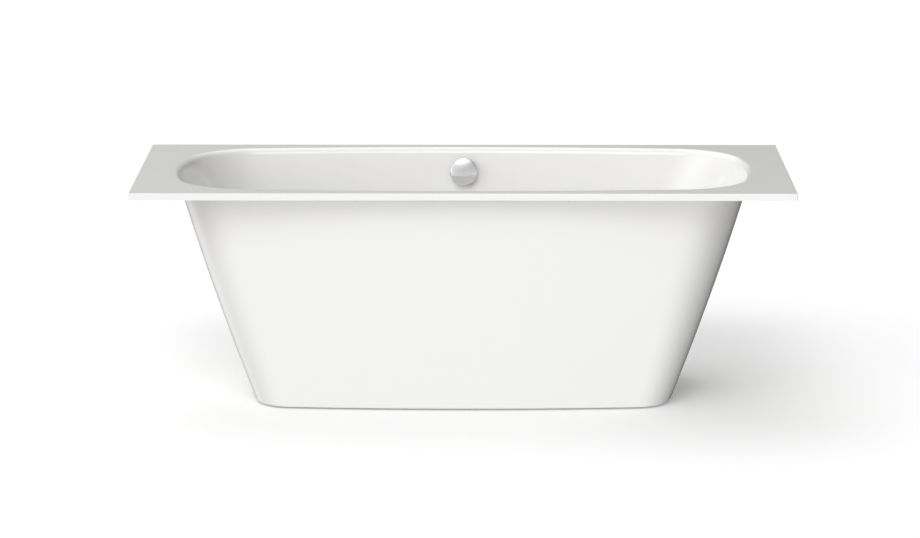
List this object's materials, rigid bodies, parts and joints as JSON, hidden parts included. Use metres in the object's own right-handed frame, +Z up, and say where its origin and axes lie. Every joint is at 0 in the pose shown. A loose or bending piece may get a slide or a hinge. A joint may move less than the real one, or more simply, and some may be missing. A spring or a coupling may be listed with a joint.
{
  "type": "built-in bathtub",
  "caption": "Rectangular built-in bathtub with a flat rim, a rounded basin, a tapered outer skirt, levelling feet and a knob-driven pop-up waste.",
  "frame": {"origin": "on the ground under the middle of the rim", "axes": "+X along the tub, -Y towards the front, +Z up"},
  "size_m": [1.7, 0.75, 0.595],
  "materials": {
    "shell_acrylic": "glossy white sheet",
    "skirt_acrylic": "glossy white sheet",
    "batten_board": "pressed board",
    "floor_board": "pressed board",
    "zinc_steel": "zinc plated",
    "rail_steel": "galvanised",
    "bridge_steel": "brushed",
    "wire_steel": "drawn",
    "chrome": "polished",
    "spindle_brass": "turned",
    "seal_rubber": "matt black",
    "pad_rubber": "matt black",
    "drain_plastic": "moulded, off-white",
    "nut_plastic": "moulded, dark grey",
    "lever_plastic": "moulded, dark grey",
    "cable_plastic": "smooth, black"
  },
  "bodies": {
    "tub": {"tub_shell": "shell_acrylic", "outer_skirt": "skirt_acrylic", "rim_batten_front": "batten_board", "rim_batten_rear": "batten_board", "rim_batten_left": "batten_board", "rim_batten_right": "batten_board", "base_board": "floor_board", "skirt_screws": "zinc_steel", "rail_screws": "zinc_steel", "foot_nuts": "zinc_steel", "lock_nuts": "zinc_steel", "support_rail_left": "rail_steel", "support_rail_right": "rail_steel", "waste_flange": "chrome", "overflow_bridge": "bridge_steel", "overflow_screws": "bridge_steel", "waste_seal": "seal_rubber", "waste_gasket": "seal_rubber", "overflow_gasket": "seal_rubber", "waste_body": "drain_plastic", "trap_bend": "drain_plastic", "trap_outlet": "drain_plastic", "overflow_body": "drain_plastic", "overflow_elbow": "drain_plastic", "overflow_pipe": "drain_plastic", "trap_nuts": "nut_plastic", "overflow_nuts": "nut_plastic", "cable_ferrules": "nut_plastic", "cable_sleeve": "cable_plastic", "cable_wire": "wire_steel", "lever_pin": "wire_steel"},
    "knob": {"overflow_knob": "chrome", "knob_spindle": "spindle_brass", "knob_set_screw": "wire_steel", "cable_cam": "lever_plastic"},
    "plug": {"waste_plug": "chrome", "plug_seal": "seal_rubber"},
    "lever": {"lift_lever": "lever_plastic"},
    "foot_front_left": {"foot_rod_front_left": "zinc_steel", "foot_pad_front_left": "pad_rubber"},
    "foot_front_right": {"foot_rod_front_right": "zinc_steel", "foot_pad_front_right": "pad_rubber"},
    "foot_rear_left": {"foot_rod_rear_left": "zinc_steel", "foot_pad_rear_left": "pad_rubber"},
    "foot_rear_right": {"foot_rod_rear_right": "zinc_steel", "foot_pad_rear_right": "pad_rubber"}
  },
  "joints": [
    {"name": "knob_turn", "type": "hinge", "parent": "tub", "child": "knob", "pos_m": [0, 0.30907, 0.531], "axis": [0, 0.9816, -0.1908], "range_deg": [0, 90]},
    {"name": "plug_lift", "type": "slide", "parent": "tub", "child": "plug", "axis": [0, 0, 1], "range_m": [0, 0.012]},
    {"name": "lever_swing", "type": "hinge", "parent": "tub", "child": "lever", "pos_m": [-0.021, 0.08019, 0.104], "axis": [0, -1, 0], "range_deg": [0, 33.21]},
    {"name": "foot_front_left_screw", "type": "slide", "parent": "tub", "child": "foot_front_left", "axis": [0, 0, -1], "range_m": [0, 0.02]},
    {"name": "foot_front_right_screw", "type": "slide", "parent": "tub", "child": "foot_front_right", "axis": [0, 0, -1], "range_m": [0, 0.02]},
    {"name": "foot_rear_left_screw", "type": "slide", "parent": "tub", "child": "foot_rear_left", "axis": [0, 0, -1], "range_m": [0, 0.02]},
    {"name": "foot_rear_right_screw", "type": "slide", "parent": "tub", "child": "foot_rear_right", "axis": [0, 0, -1], "range_m": [0, 0.02]}
  ],
  "couplings": [
    {"joint": "plug_lift", "follows": "knob_turn", "m_per_rad": 0.0076394},
    {"joint": "lever_swing", "follows": "knob_turn", "ratio": 0.36892}
  ]
}
